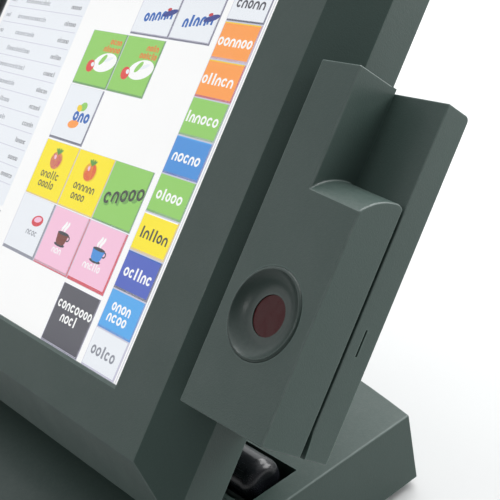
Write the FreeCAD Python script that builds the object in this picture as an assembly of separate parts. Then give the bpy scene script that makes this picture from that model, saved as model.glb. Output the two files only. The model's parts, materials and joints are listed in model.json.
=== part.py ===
import FreeCAD, Part
import math
import os

# Touch terminal with a side reader module: fingerprint sensor and card swipe slot.
# Row frame: X to the user's right, Y towards the back, Z up, millimetres.
# The origin is on the table, under the middle of the whole terminal.
#
# The head is designed upright in its own frame: x from its middle to the right, y from the
# bezel's front face to the back, z up from its lower edge. head_placement() reclines it about
# the hinge axis. The reader module is part of the head, and is laid out from the finger
# sensor's centre: u to the right, v up, d back from the module's front face.

V = FreeCAD.Vector

# ---- driving dimensions: the head ------------------------------------------------------------
RECLINE = 42.5            # degrees from vertical at rest
HEAD_W, HEAD_H = 422.8, 326.5
BEVEL = 22.0              # 45 degree bevel round the bezel
HOUSING_D = 46.4          # depth of the front housing
HEAD_D = 84.0             # depth with the rear cover
WALL = 3.0
SCREEN_W, SCREEN_H = 304.1, 228.1   # visible area of a 15 inch 4:3 display
SCREEN_Z = 49.7           # lower edge of the visible area
HINGE_Y, HINGE_Z = 85.4, 29.2       # hinge axis in the head's frame
REAR_STEP = 5.0           # rear cover is smaller all round by this
BUTTON_Y, BUTTON_Z = 33.0, 60.0     # power button in the head's left side
BUTTON_R = 5.9
BUTTON_PROUD = 1.6        # it stands out of the side by this
BOARD_SCREWS = [(x, z) for x in (-120, 120) for z in (110, 220)]
BOARD_Y = 28.0            # front face of the main board
BOARD_T = 1.6

# ---- driving dimensions: the reader module ---------------------------------------------------
SENSOR_X, SENSOR_Z = 238.6, 115.0   # finger sensor's centre in the head's frame
MOD_L, MOD_R = -35.3, 27.4          # left and right faces of the front block
MOD_BOTTOM, MOD_TOP = -55.0, 126.6
NECK_R = -7.8             # right face of the narrow upper part
STEP_V = 62.6             # height of the step's front edge at the neck
STEP_FALL = 0.1           # the step's top falls to the right by this much per mm
SLOT_D = 27.0             # depth at which the card slot starts
SLOT_GAP = 1.8
PLATE_R = 27.4            # right edge of the rear plate
PLATE_TOP = 124.3
SKIN = 2.5                # wall of the module's mouldings
FRONT_R = 1.2             # rounding of its front's upright edges
DISH_U, DISH_R = -4.0, 23.5         # finger dish: offset of its centre and its outer radius
DISH_DEPTH = 4.2
READ_V = 44.0             # height of the magnetic head above the finger sensor
BRACKET_VS = (-30.0, 30.0)          # heights of the screws that hold the module to the head
BRACKET_D = 37.0
LID_SCREW_VS = (-45.0, 110.0)       # heights of the screws in the module's lid
SLIT_D, SLIT_V0, SLIT_V1 = 36.0, -2.0, 11.5      # status slit in the rear plate's right side
LEAF_HALF = 16.0          # half length of its leaf spring

# ---- driving dimensions: the base ------------------------------------------------------------
BASE_W = 437.2
FOOT_H = 5.0
BASE_TOP = 49.0           # rear deck above the table, level with the hinge axis
DECK_FRONT = 24.0         # height of the base's front edge
DECK_STEP = 36.0          # height of the deck in front of the trough
BASE_FRONT, BASE_BACK = -100.0, 93.0   # front edge and rear corners, from the hinge axis
BOW = 24.0                # the rear edge bows back by this in the middle
TROUGH_HALF = 203.9       # half length of the hinge trough
TROUGH_FRONT, TROUGH_BACK = -19.0, 18.6
TROUGH_FLOOR = 27.0
BARREL_R = 13.0
BARREL_END = 200.0
SHAFT_R = 5.0
EAR_X = 111.0             # inner face of each base ear
EAR_T = 6.0
BOLT_X, BOLT_Y = 100.0, 100.0       # counter bolt pattern in the base plate
BOLT_R = 2.2
BAY_HALF, BAY_FRONT, BAY_TOP = 76.0, 62.0, 36.0   # connector bay in the base's back
DOOR_Y, DOOR_PIN_Z = 108.0, 33.0    # pin of the bay's flap
DOOR_T, DOOR_PIN_R = 2.4, 1.25
PORT_LOW = 12.0           # underside of the connectors above the table
PORTS = {                 # each connector's middle, half width and height
    "network_jack": (-58, 8.0, 14.0), "drawer_jack": (-34, 8.0, 14.0), "usb_ports": (-8, 7.6, 16.0),
    "serial_port": (24, 15.5, 12.6), "power_inlet": (57, 8.0, 12.0)}

# ---- shared by head and base -----------------------------------------------------------------
GAP = 0.3                 # clearance between pieces that do not touch
EDGE_R = 1.1              # rounding of the large mouldings' outer edges

# ---- where the row frame lies ----------------------------------------------------------------
HEAD_X = -(PLATE_R + SENSOR_X - BASE_W / 2) / 2   # head's middle in the row frame
AXIS_Y = -36.0            # hinge axis from the middle of the whole terminal


def box(x0, x1, y0, y1, z0, z1):
    return Part.makeBox(x1 - x0, y1 - y0, z1 - z0, V(x0, y0, z0))


def cyl(r, p0, p1):
    return Part.makeCylinder(r, (p1 - p0).Length, p0, p1 - p0)


def polygon(points):
    return Part.Face(Part.makePolygon(points + [points[0]]))


def rect_wire(x0, x1, y, z0, z1):
    corners = [V(x0, y, z0), V(x1, y, z0), V(x1, y, z1), V(x0, y, z1)]
    return Part.makePolygon(corners + [corners[0]])


def frustum(front, back):
    """Solid between two upright rectangles, each given as x0, x1, y, z0, z1."""
    return Part.makeLoft([rect_wire(*front), rect_wire(*back)], True, True)


def fillet_where(shape, radius, test):
    """Round the straight edges whose middle and direction pass the test."""
    chosen = []
    for edge in shape.Edges:
        if not isinstance(edge.Curve, Part.Line):
            continue
        ends = [v.Point for v in edge.Vertexes]
        middle = (ends[0] + ends[1]) * 0.5
        way = (ends[1] - ends[0]).normalize()
        if test(middle, way):
            chosen.append(edge)
    return shape.makeFillet(radius, chosen)


def sharp_edges(shape, test):
    """Edges where two faces meet at more than 20 degrees and whose middle passes the test."""
    beside = {}
    for face in shape.Faces:
        for edge in face.Edges:
            beside.setdefault(edge.hashCode(), []).append(face)
    chosen = []
    for edge in shape.Edges:
        faces = beside.get(edge.hashCode(), [])
        if len(faces) != 2:
            continue
        middle = edge.valueAt((edge.FirstParameter + edge.LastParameter) / 2)
        normals = [f.normalAt(*f.Surface.parameter(middle)) for f in faces]
        if math.degrees(normals[0].getAngle(normals[1])) > 20 and test(middle):
            chosen.append(edge)
    return chosen


def rounded(shape, radius, test=lambda m: True):
    """The shape with its sharp edges rounded, or only those whose middle passes the test."""
    return shape.makeFillet(radius, sharp_edges(shape, test))


def group(shapes):
    return Part.makeCompound(shapes)


def cut_all(shape, tools):
    return shape.cut(group(tools)) if tools else shape


def head_placement():
    turn = FreeCAD.Rotation(V(1, 0, 0), -RECLINE)
    axis_in_head = V(0, HINGE_Y, HINGE_Z)
    axis_in_row = V(HEAD_X, AXIS_Y, BASE_TOP)
    return FreeCAD.Placement(axis_in_row - turn.multVec(axis_in_head), turn)


def save(name, shape):
    shape.exportStep("parts/" + name + ".step")


def save_head(name, shape):
    placed = shape.copy()
    placed.Placement = head_placement().multiply(placed.Placement)
    save(name, placed)


def save_base(name, shape):
    """Base pieces are drawn with x from the head's middle and y from the hinge axis."""
    placed = shape.copy()
    placed.translate(V(HEAD_X, AXIS_Y, 0))
    save(name, placed)


def save_module(name, shape):
    """Module pieces are drawn with x = u, y = d, z = v, from the finger sensor's centre."""
    placed = shape.copy()
    placed.translate(V(SENSOR_X, 0, SENSOR_Z))
    save_head(name, placed)


def pan_screw(at, way, length, head_r=3.2, shank_r=1.5):
    """Pan head screw: the head's underside is at the point, the shank runs along way."""
    way = V(way).normalize()
    head = cyl(head_r, at - way * 2.0, at)
    shank = cyl(shank_r, at - way * 0.5, at + way * length)
    recess = group([cyl(0.45, at - way * 2.2, at - way * 0.9)])
    across = V(0, 0, 1) if abs(way.z) < 0.9 else V(1, 0, 0)
    other = way.cross(across)
    for arm in (across, other):
        side = way.cross(arm)
        corner = at - way * 2.2 - arm * 1.9 - side * 0.4
        edges = [corner, corner + arm * 3.8, corner + arm * 3.8 + side * 0.8, corner + side * 0.8]
        recess = group([recess, polygon(edges).extrude(way * 1.3)])
    return head.fuse(shank).cut(recess).removeSplitter()


# ---- head ------------------------------------------------------------------------------------
HALF = HEAD_W / 2
COVER_SCREWS = [(x, z) for x in (24.2 - HALF, HALF - 24.2) for z in (34, 164, 294)]
SCREW_SEAT = HOUSING_D + 3.0        # depth of the seats of the rear cover's screws


def front_housing():
    flat, low, high = HALF - BEVEL, BEVEL, HEAD_H - BEVEL
    outer = frustum((-flat, flat, 0, low, high), (-HALF, HALF, BEVEL, 0, HEAD_H))
    outer = outer.fuse(box(-HALF, HALF, BEVEL, HOUSING_D, 0, HEAD_H)).removeSplitter()
    outer = rounded(outer, EDGE_R, lambda m: m.y < HOUSING_D - 0.1)
    outer = rounded(outer, 0.5, lambda m: m.y > HOUSING_D - 0.1)
    inner = frustum((-flat + 1.3, flat - 1.3, WALL, low + 1.3, high - 1.3),
                    (-HALF + WALL, HALF - WALL, BEVEL + 1.3, WALL, HEAD_H - WALL))
    inner = inner.fuse(box(-HALF + WALL, HALF - WALL, BEVEL + 1.3, HOUSING_D + 1, WALL, HEAD_H - WALL))
    shell = outer.cut(inner)
    half_w, top = SCREEN_W / 2, SCREEN_Z + SCREEN_H
    lead = 1.6
    window = frustum((-half_w - lead, half_w + lead, -0.01, SCREEN_Z - lead, top + lead),
                     (-half_w, half_w, lead, SCREEN_Z, top))
    window = window.fuse(box(-half_w, half_w, lead, WALL + 1, SCREEN_Z, top))
    shell = shell.cut(window)
    button = V(-HALF - 1, BUTTON_Y, BUTTON_Z)
    tools = [cyl(BUTTON_R + 0.5, button, button + V(WALL + 2, 0, 0))]
    for v in BRACKET_VS:
        at = V(HALF - WALL - 1, BRACKET_D, SENSOR_Z + v)
        tools.append(cyl(1.7, at, at + V(WALL + 2, 0, 0)))
    tools.append(box(HALF - WALL - 1, HALF + 1, 30, 41, SENSOR_Z + 2, SENSOR_Z + 18))
    shell = cut_all(shell, tools)
    bosses, holes = [], []
    for x, z in COVER_SCREWS:
        bosses.append(cyl(4.5, V(x, 24, z), V(x, HOUSING_D - 0.6, z)))
        bosses.append(box(*sorted((x, math.copysign(HALF - 1, x))), 26, HOUSING_D - 4, z - 1.2, z + 1.2))
        holes.append(cyl(1.5, V(x, 30, z), V(x, HOUSING_D, z)))
    return shell.fuse(bosses).cut(group(holes))


def rear_outline(shrink, y0, y1):
    """Tapered block of the rear cover, made smaller on every side by shrink."""
    s = shrink
    front = (-HALF + REAR_STEP + s, HALF - REAR_STEP - s, y0, REAR_STEP + s, HEAD_H - REAR_STEP - s)
    back = (-152 + s, 152 - s, y1, 42 + s, 262 - s)
    return frustum(front, back)


def vent_slots():
    """Vertical slots through the rear cover's back wall, in two rows."""
    slots = []
    for row_z in (176, 226):
        for i in range(27):
            x = -117 + 9 * i
            slots.append(box(x - 1.6, x + 1.6, HEAD_D - 6, HEAD_D + 1, row_z - 20, row_z + 20))
    return slots


def rear_cover():
    outer = rear_outline(0, HOUSING_D + GAP, HEAD_D)
    outer = rounded(outer, 4.0, lambda m: m.y > HOUSING_D + 1)
    shell = outer.cut(rear_outline(WALL, HOUSING_D + GAP - 0.01, HEAD_D - WALL))
    rim = box(-HALF + REAR_STEP, HALF - REAR_STEP, HOUSING_D - 3, HOUSING_D + GAP, 5, HEAD_H - 5)
    rim = rim.cut(box(-HALF + 8, HALF - 8, HOUSING_D - 4, HOUSING_D + 1, 8, HEAD_H - 8))
    shell = shell.fuse(rim)
    tools = vent_slots()
    tools.append(cyl(BARREL_R + GAP, V(-BARREL_END - 8, HINGE_Y, HINGE_Z), V(BARREL_END + 8, HINGE_Y, HINGE_Z)))
    for side in (-1, 1):
        x0, x1 = sorted((side * (EAR_X + 7), side * (EAR_X + 16)))
        tools.append(box(x0, x1, 58, 90, 18, 66))
    wells = []
    for x, z in COVER_SCREWS:
        wells.append(cyl(6.5, V(x, HOUSING_D + GAP, z), V(x, HEAD_D, z)))
        tools.append(cyl(1.8, V(x, HOUSING_D - 6, z), V(x, HEAD_D, z)))
        tools.append(cyl(4.4, V(x, SCREW_SEAT, z), V(x, HEAD_D + 1, z)))
    wells = group(wells).common(outer)
    return cut_all(shell.fuse(wells.Solids), tools)


def touch_glass():
    x, z0 = SCREEN_W / 2 + 9, SCREEN_Z - 9
    return box(-x, x, 4.4, 7.4, z0, z0 + SCREEN_H + 18)


def touch_gasket():
    x, z0, z1 = SCREEN_W / 2 + 8, SCREEN_Z - 8, SCREEN_Z + SCREEN_H + 8
    ring = box(-x, x, WALL, 4.4, z0, z1)
    return ring.cut(box(-x + 5, x - 5, 2, 5, z0 + 5, z1 - 5))


def lcd_image():
    x = SCREEN_W / 2 + 1
    return box(-x, x, 7.6, 8.4, SCREEN_Z - 1, SCREEN_Z + SCREEN_H + 1)


def lcd_panel():
    x, z0, z1 = SCREEN_W / 2 + 11, SCREEN_Z - 12, SCREEN_Z + SCREEN_H + 12
    body = box(-x, x, 7.6, 18, z0, z1)
    return body.cut(box(-SCREEN_W / 2 - 1, SCREEN_W / 2 + 1, 7, 8.4, SCREEN_Z - 1, SCREEN_Z + SCREEN_H + 1))


def chassis_frame():
    x, z0, z1 = 180, 22, 306
    tray = box(-x, x, 19.5, 21, z0, z1)
    for side in (-1, 1):
        tray = tray.fuse(box(*sorted((side * x, side * (x - 1.5))), 19.5, 33, z0, z1))
    tray = tray.fuse(box(-x, x, 19.5, 33, z1 - 1.5, z1))
    holes = [box(-150 + 76 * i, -100 + 76 * i, 19, 22, 240, 280) for i in range(4)]
    for hx, hz in BOARD_SCREWS:
        holes.append(cyl(1.7, V(hx, 19, hz), V(hx, 22, hz)))
    return cut_all(tray, holes)


def chassis_screws():
    """Stand-off screws between the chassis frame and the main board."""
    screws = []
    top = BOARD_Y + 3.8
    for x, z in BOARD_SCREWS:
        shank = cyl(1.5, V(x, 21, z), V(x, top, z))
        screws.append(shank.fuse(cyl(3, V(x, top - 1.6, z), V(x, top, z))))
    return group(screws)


def main_board():
    face = BOARD_Y + BOARD_T
    board = box(-130, 130, BOARD_Y, face, 100, 232)
    board = cut_all(board, [cyl(1.8, V(x, face - 3, z), V(x, face + 1, z)) for x, z in BOARD_SCREWS])
    chips = [box(-20, 20, face, face + 2.8, 150, 190), box(-75, -45, face, face + 2.4, 160, 188)]
    chips += [box(50 + 16 * i, 62 + 16 * i, face, face + 1.8, 186, 206) for i in range(4)]
    chips += [box(-110, -84, face, face + 8.4, 120 + 22 * i, 134 + 22 * i) for i in range(3)]
    return board.fuse(chips)


def heatsink():
    plate = box(-32, 32, 32.4, 36, 140, 200)
    fins = [box(-32 + 5.6 * i, -30.2 + 5.6 * i, 36, 58, 140, 200) for i in range(12)]
    return plate.fuse(fins)


def memory_module():
    stick = box(44, 112, 32.6, 33.8, 120, 150)
    chips = [box(48 + 16 * i, 60 + 16 * i, 33.8, 35.2, 126, 144) for i in range(4)]
    socket = box(42, 114, 29.6, 36, 113, 120)
    return stick.fuse(chips).fuse(socket)


def storage_drive():
    body = box(-110, -40, 34, 43.5, 46, 92)
    return fillet_where(body, 1.5, lambda m, w: abs(w.y) > 0.99)


def backlight_inverter():
    board = box(-172, -152, 24, 25.6, 100, 220)
    parts = [box(-169, -155, 25.6, 31, 112 + 34 * i, 130 + 34 * i) for i in range(3)]
    return board.fuse(parts)


def touch_controller():
    return box(0, 60, 24, 25.6, 50, 84).fuse(box(18, 38, 25.6, 27.2, 58, 74))


def speaker(side):
    x, z = side * 160, 62
    basket = cyl(17, V(x, 34, z), V(x, 46, z)).cut(cyl(15, V(x, 33.9, z), V(x, 42, z)))
    cone = Part.makeCone(15.2, 6, 8, V(x, 34.5, z), V(0, 1, 0)).cut(
        Part.makeCone(14.2, 5, 8, V(x, 33.5, z), V(0, 1, 0)))
    frame = box(x - 19, x + 19, 33, 34, z - 19, z + 19).cut(cyl(15, V(x, 32, z), V(x, 35, z)))
    return frame.fuse(basket).fuse(cone)


def power_button():
    axis = V(-HALF, BUTTON_Y, BUTTON_Z)
    cap = cyl(BUTTON_R, axis - V(BUTTON_PROUD, 0, 0), axis + V(5, 0, 0))
    rim = [e for e in cap.Edges if abs(e.CenterOfMass.x + HALF + BUTTON_PROUD) < 0.01]
    flange = cyl(7.6, axis + V(WALL + 0.4, 0, 0), axis + V(WALL + 1.6, 0, 0))
    return cap.makeFillet(0.7, rim).fuse(flange)


def button_spring():
    x = -HALF + 9
    turns = [Part.makeTorus(4.2, 0.4, V(x - 0.8 * i, BUTTON_Y, BUTTON_Z), V(1, 0, 0)) for i in range(4)]
    return group(turns)


def power_switch():
    x = -HALF + 12
    body = box(x, x + 8, BUTTON_Y - 7, BUTTON_Y + 7, BUTTON_Z - 7, BUTTON_Z + 7)
    stem = cyl(2.4, V(x - 3.8, BUTTON_Y, BUTTON_Z), V(x, BUTTON_Y, BUTTON_Z))
    return body.fuse(stem)


def hinge_arm(side):
    """Steel arm: an eye round the shaft, a plate into the head and a foot on the chassis."""
    x0 = EAR_X + EAR_T + 1.8
    x1 = x0 + EAR_T
    eye = cyl(11, V(x0, HINGE_Y, HINGE_Z), V(x1, HINGE_Y, HINGE_Z))
    outline = [V(x0, HINGE_Y - 9, HINGE_Z - 6.3), V(x0, 21, 40), V(x0, 21, 100), V(x0, 30, 100),
               V(x0, HINGE_Y - 12, 56), V(x0, HINGE_Y + 2, HINGE_Z + 10.8)]
    plate = polygon(outline).extrude(V(EAR_T, 0, 0))
    foot = box(x0, x1 + 22, 21, 24, 40, 100)
    arm = eye.fuse(plate).fuse(foot)
    arm = arm.cut(cyl(SHAFT_R + 0.05, V(x0 - 1, HINGE_Y, HINGE_Z), V(x1 + 1, HINGE_Y, HINGE_Z)))
    return arm if side > 0 else arm.mirror(V(0, 0, 0), V(1, 0, 0))


def barrel(x0, x1, domed):
    """Glossy cover tube round the hinge axis, with a rounded closed end where domed."""
    a, b = V(x0, HINGE_Y, HINGE_Z), V(x1, HINGE_Y, HINGE_Z)
    tube = cyl(BARREL_R, a, b)
    if domed:
        tube = tube.makeFillet(7, [e for e in tube.Edges if abs(e.CenterOfMass.x - x1) < 0.01])
        b = b - V(3, 0, 0)
    return tube.cut(cyl(BARREL_R - 1.6, a - V(1, 0, 0), b + (V(0, 0, 0) if domed else V(1, 0, 0))))


def hinge_covers():
    inner, outer = EAR_X - 1.5, EAR_X + 2 * EAR_T + 2.4
    right = barrel(outer, BARREL_END, True)
    save_head("hinge_cover_right", right)
    save_head("hinge_cover_left", right.mirror(V(0, 0, 0), V(1, 0, 0)))
    save_head("hinge_cover_centre", barrel(-inner, inner, False))


def head_screws():
    screws = []
    for x, z in COVER_SCREWS:
        screws.append(pan_screw(V(x, SCREW_SEAT, z), V(0, -1, 0), 10, shank_r=1.45))
    return group(screws)


# ---- reader module ---------------------------------------------------------------------------
WALL_U = HALF - SENSOR_X + GAP      # the module's left side, against the head's side wall


def module_section(right, depth, inset=0.0):
    """Outline in u and d: the left side follows the head's bevel."""
    i = inset
    bevel_meets = MOD_L - (HALF - SENSOR_X - BEVEL)
    return [V(MOD_L + i, i, 0), V(right - i, i, 0), V(right - i, depth, 0),
            V(WALL_U + i, depth, 0), V(WALL_U + i, BEVEL + GAP, 0), V(MOD_L + i, bevel_meets - GAP, 0)]


def step_cutter(margin):
    """What is cut away above the step's curved top, lowered by margin for the inside."""
    x0 = NECK_R - margin
    low = STEP_V - margin

    def at(d, rise):
        return V(x0, d, low + rise)
    crest = Part.Arc(at(0, 0), at(9.5, 7.6), at(21.5, 11.6)).toShape()
    back = Part.Arc(at(21.5, 11.6), at(26.4, 10.8), at(29.0, 7.0)).toShape()
    top = Part.makePolygon([at(29.0, 7.0), at(40, 7.0), at(40, 90), at(-5, 90), at(-5, -1.5), at(0, 0)])
    face = Part.Face(Part.Wire([crest, back] + top.Edges))
    return face.extrude(V(60, 0, -60 * STEP_FALL))


def module_front_cover():
    outer = polygon(module_section(MOD_R, SLOT_D)).extrude(V(0, 0, MOD_TOP - MOD_BOTTOM))
    outer.translate(V(0, 0, MOD_BOTTOM))
    outer = outer.cut(step_cutter(0))
    outer = fillet_where(outer, FRONT_R, lambda m, w: abs(w.z) > 0.99 and m.y < 0.1)
    outer = rounded(outer, 0.8, lambda m: m.y < SLOT_D + 0.1 and m.x > WALL_U + 0.1)
    low, high = MOD_BOTTOM + SKIN, MOD_TOP - SKIN
    inner = polygon(module_section(MOD_R, SLOT_D + 1, SKIN)).extrude(V(0, 0, high - low))
    inner.translate(V(0, 0, low))
    inner = inner.cut(step_cutter(SKIN))
    cover = outer.cut(inner)
    deep = SLOT_D + SLOT_GAP - 0.05
    cover = cover.fuse(box(WALL_U, NECK_R - 3, SLOT_D - 2, deep, MOD_BOTTOM, STEP_V + 6))
    cover = cover.fuse(box(WALL_U, NECK_R, SLOT_D - 2, deep, STEP_V + 6, MOD_TOP))
    collar_r = DISH_R + 2.2
    collar = cyl(collar_r, V(DISH_U, 1.5, 0), V(DISH_U, 7.5, 0))
    cover = cover.fuse(collar.common(outer))
    return cover.cut(cyl(DISH_R + 0.05, V(DISH_U, -1, 0), V(DISH_U, 9, 0)))


def finger_guide():
    """Oval dish: a rounded rim, then a concave slope down to the sensor's window."""
    rim, hole = DISH_R, 10.5
    start, end = V(rim - 1.6, -0.9, 0), V(hole, DISH_DEPTH - 0.6, 0)
    lip = Part.Arc(V(rim, 0.4, 0), V(rim - 0.5, -0.6, 0), start).toShape()
    slope = Part.Arc(start, V(17.0, DISH_DEPTH - 1.6, 0), end).toShape()
    rest = Part.makePolygon([end, V(hole, 6.5, 0), V(rim, 6.5, 0), V(rim, 0.4, 0)])
    profile = Part.Face(Part.Wire([lip, slope] + rest.Edges))
    ring = profile.revolve(V(0, 0, 0), V(0, 1, 0), 360)
    ring.translate(V(DISH_U, 0, 0))
    return ring


def sensor_window():
    return cyl(10.4, V(DISH_U, DISH_DEPTH, 0), V(DISH_U, 6.5, 0))


def sensor_block():
    body = box(DISH_U - 13, DISH_U + 13, 7.6, 17, -18, 18)
    return fillet_where(body, 2, lambda m, w: abs(w.y) > 0.99).fuse(
        cyl(10.0, V(DISH_U, 6.5, 0), V(DISH_U, 8, 0)))


def sensor_board():
    board = box(DISH_U - 17, DISH_U + 17, 17, 18.6, -26, 22)
    chips = [box(DISH_U - 6, DISH_U + 6, 18.6, 20, -20, -8), box(DISH_U - 4, DISH_U + 8, 18.6, 22, 4, 14)]
    return board.fuse(chips)


def slot_wall():
    """Inner wall of the card slot, with the read head's window and a flared lower end."""
    thick = 1.9
    front = SLOT_D - thick
    wall = box(NECK_R, MOD_R - SKIN - 0.1, front, SLOT_D, MOD_BOTTOM + SKIN + 0.1, 66)
    wall = wall.cut(box(-3.4, 9.4, SLOT_D - 4, SLOT_D + 1, READ_V - 7.4, READ_V + 7.4))
    for side in (-1, 1):
        v0, v1 = sorted((READ_V + side * (LEAF_HALF - 1), READ_V + side * (LEAF_HALF + 4)))
        post = box(-1, 7, SLOT_D - 10.2, front, v0, v1)
        v0, v1 = sorted((READ_V + side * (LEAF_HALF - 2), READ_V + side * (LEAF_HALF + 0.6)))
        wall = wall.fuse(post.cut(box(-0.4, 6.4, SLOT_D - 9.1, SLOT_D - 7.1, v0, v1)))
    return wall


def card_rail():
    """Steel strip that closes the slot's left side, where the card's edge runs."""
    return box(NECK_R - 3, NECK_R, SLOT_D + 0.02, SLOT_D + SLOT_GAP - 0.02, MOD_BOTTOM + 1, STEP_V + 6)


def read_head():
    """Magnetic head: a rounded nose that stands into the slot, on a carrier."""
    nose = cyl(5, V(-2.6, SLOT_D - 4.2, READ_V), V(8.6, SLOT_D - 4.2, READ_V))
    nose = nose.common(box(-3, 9, SLOT_D - 4.2, SLOT_D + 1.0, READ_V - 6, READ_V + 6))
    carrier = box(-2.6, 8.6, SLOT_D - 7.4, SLOT_D - 4.2, READ_V - 6.4, READ_V + 6.4)
    return nose.fuse(carrier)


def read_head_spring():
    """Leaf spring behind the read head, its two ends held loosely by the slot wall's posts."""
    return box(0, 6, SLOT_D - 7.9, SLOT_D - 7.4, READ_V - LEAF_HALF, READ_V + LEAF_HALF)


def module_rear_plate():
    front = SLOT_D + SLOT_GAP
    plate = box(WALL_U, PLATE_R, front, HOUSING_D, MOD_BOTTOM, PLATE_TOP)
    plate = fillet_where(
        plate, 3, lambda m, w: abs(w.x) > 0.99 and m.z > PLATE_TOP - 0.1 and m.y > HOUSING_D - 0.1)
    plate = rounded(plate, 0.8, lambda m: m.x > WALL_U + 0.1)
    cavity = box(WALL_U + SKIN, PLATE_R - SKIN, front + SKIN, HOUSING_D + 1,
                 MOD_BOTTOM + SKIN, PLATE_TOP - 4)
    flare = polygon([V(NECK_R, front - 0.01, MOD_BOTTOM - 0.01), V(NECK_R, front + 1.5, MOD_BOTTOM - 0.01),
                     V(NECK_R, front - 0.01, MOD_BOTTOM + 14)]).extrude(V(60, 0, 0))
    slit = box(PLATE_R - 5, PLATE_R + 1, SLIT_D - 0.6, SLIT_D + 0.6, SLIT_V0, SLIT_V1)
    bracket_slot = box(WALL_U - 1, WALL_U + SKIN + 1, 38, 40.4, 3.6, 16.4)
    pilots = [cyl(1.5, V(WALL_U - 1, BRACKET_D, v), V(WALL_U + SKIN + 1, BRACKET_D, v)) for v in BRACKET_VS]
    return cut_all(plate, [cavity, flare, slit, bracket_slot] + pilots)


def module_back_cover():
    lid = box(WALL_U + SKIN + 0.1, PLATE_R - SKIN - 0.1, HOUSING_D - 2.4, HOUSING_D - 0.2,
              MOD_BOTTOM + SKIN + 0.1, PLATE_TOP - 4.1)
    return cut_all(lid, [cyl(1.7, V(2, HOUSING_D - 4, v), V(2, HOUSING_D + 1, v)) for v in LID_SCREW_VS])


def status_lens():
    return box(PLATE_R - 4.4, PLATE_R - 0.5, SLIT_D - 0.55, SLIT_D + 0.55, SLIT_V0 + 0.05, SLIT_V1 - 0.05)


def decoder_board():
    board = box(-14, 20, 33.4, 35, -30, 60)
    return board.fuse([box(-4, 8, 35, 37, 20, 34), box(-10, 12, 35, 38.6, -26, -18)])


def module_screws():
    """Two screws hold the lid, and two hold the rear plate to the head from inside the head."""
    screws = []
    for v in LID_SCREW_VS:
        screws.append(pan_screw(V(2, HOUSING_D - 0.2, v), V(0, -1, 0), 6, head_r=2.9))
    for v in BRACKET_VS:
        flange = V(HALF - WALL - SENSOR_X - 2.2, BRACKET_D, v)
        screws.append(pan_screw(flange, V(1, 0, 0), 9.4, head_r=2.9, shank_r=1.45))
    return group(screws)


def module_bracket():
    """Steel angle that ties the module to the head's chassis, through the side wall."""
    inside = HALF - WALL - SENSOR_X
    strap = box(inside - 30, inside - 0.2, 33.2, 35.2, 3, 17)
    flange = box(inside - 2.2, inside - 0.2, 33.2, 41, -40, 44)
    tongue = box(inside - 0.2, WALL_U + SKIN + 14, 38.2, 40.2, 4, 16)
    holes = [cyl(1.6, V(inside - 3, BRACKET_D, v), V(inside, BRACKET_D, v)) for v in BRACKET_VS]
    return cut_all(strap.fuse(flange).fuse(tongue), holes)


# ---- base ------------------------------------------------------------------------------------
def base_plan(inset, z):
    """Plan outline at height z: straight front, bowed rear edge."""
    half, front, back = BASE_W / 2 - inset, BASE_FRONT + inset, BASE_BACK - inset
    left_back, right_back = V(-half, back, z), V(half, back, z)
    bow = Part.Arc(right_back, V(0, back + BOW, z), left_back).toShape()
    sides = Part.makePolygon([left_back, V(-half, front, z), V(half, front, z), right_back])
    return Part.Face(Part.Wire([bow] + sides.Edges))


def deck_cutter(drop):
    """Everything above the deck's side profile, lowered by drop."""
    ramp = TROUGH_FRONT - 11
    far = BASE_BACK + BOW + 10
    points = [(far, BASE_TOP), (TROUGH_FRONT - 3, BASE_TOP), (ramp, DECK_STEP), (BASE_FRONT - 5, DECK_FRONT)]
    outline = [V(-BASE_W, y, z - drop) for y, z in points]
    outline += [V(-BASE_W, BASE_FRONT - 5, 90), V(-BASE_W, far, 90)]
    return polygon(outline).extrude(V(2 * BASE_W, 0, 0))


def base_cover():
    low = FOOT_H
    outer = base_plan(0, low).extrude(V(0, 0, BASE_TOP - low))
    outer = fillet_where(outer, 10, lambda m, w: abs(w.z) > 0.99 and m.y < 0)
    outer = outer.cut(deck_cutter(0))
    outer = rounded(outer, EDGE_R, lambda m: m.z > low + 0.1)
    inner = base_plan(WALL, low - 1).extrude(V(0, 0, BASE_TOP - low))
    inner = inner.cut(deck_cutter(WALL))
    shell = outer.cut(inner)
    trough_box = box(-TROUGH_HALF - 2.5, TROUGH_HALF + 2.5, TROUGH_FRONT - 2.5, TROUGH_BACK + 2.5,
                     TROUGH_FLOOR - 2.5, BASE_TOP)
    shell = shell.fuse(trough_box.common(outer))
    cheeks = [box(*sorted((side * BAY_HALF, side * (BAY_HALF + 4))), DOOR_Y - 12, 130, low + 2, BAY_TOP + 3)
              for side in (-1, 1)]
    cheeks.append(box(-BAY_HALF - 4, BAY_HALF + 4, DOOR_Y - 5, 130, BAY_TOP, BAY_TOP + 3))
    shell = shell.fuse(group(cheeks).common(outer).Solids)
    tools = [box(-TROUGH_HALF, TROUGH_HALF, TROUGH_FRONT, TROUGH_BACK, TROUGH_FLOOR, BASE_TOP + 1)]
    for side in (-1, 1):
        x0, x1 = sorted((side * (EAR_X - 0.6), side * (EAR_X + EAR_T + 0.6)))
        tools.append(box(x0, x1, -12, 12, 20, TROUGH_FLOOR + 1))
    tools.append(box(-BAY_HALF, BAY_HALF, BAY_FRONT + 20, 130, low - 1, BAY_TOP))
    pin_half = BAY_HALF + 2.6
    tools.append(cyl(DOOR_PIN_R, V(-pin_half, DOOR_Y, DOOR_PIN_Z), V(pin_half, DOOR_Y, DOOR_PIN_Z)))
    return cut_all(shell, tools)


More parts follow.
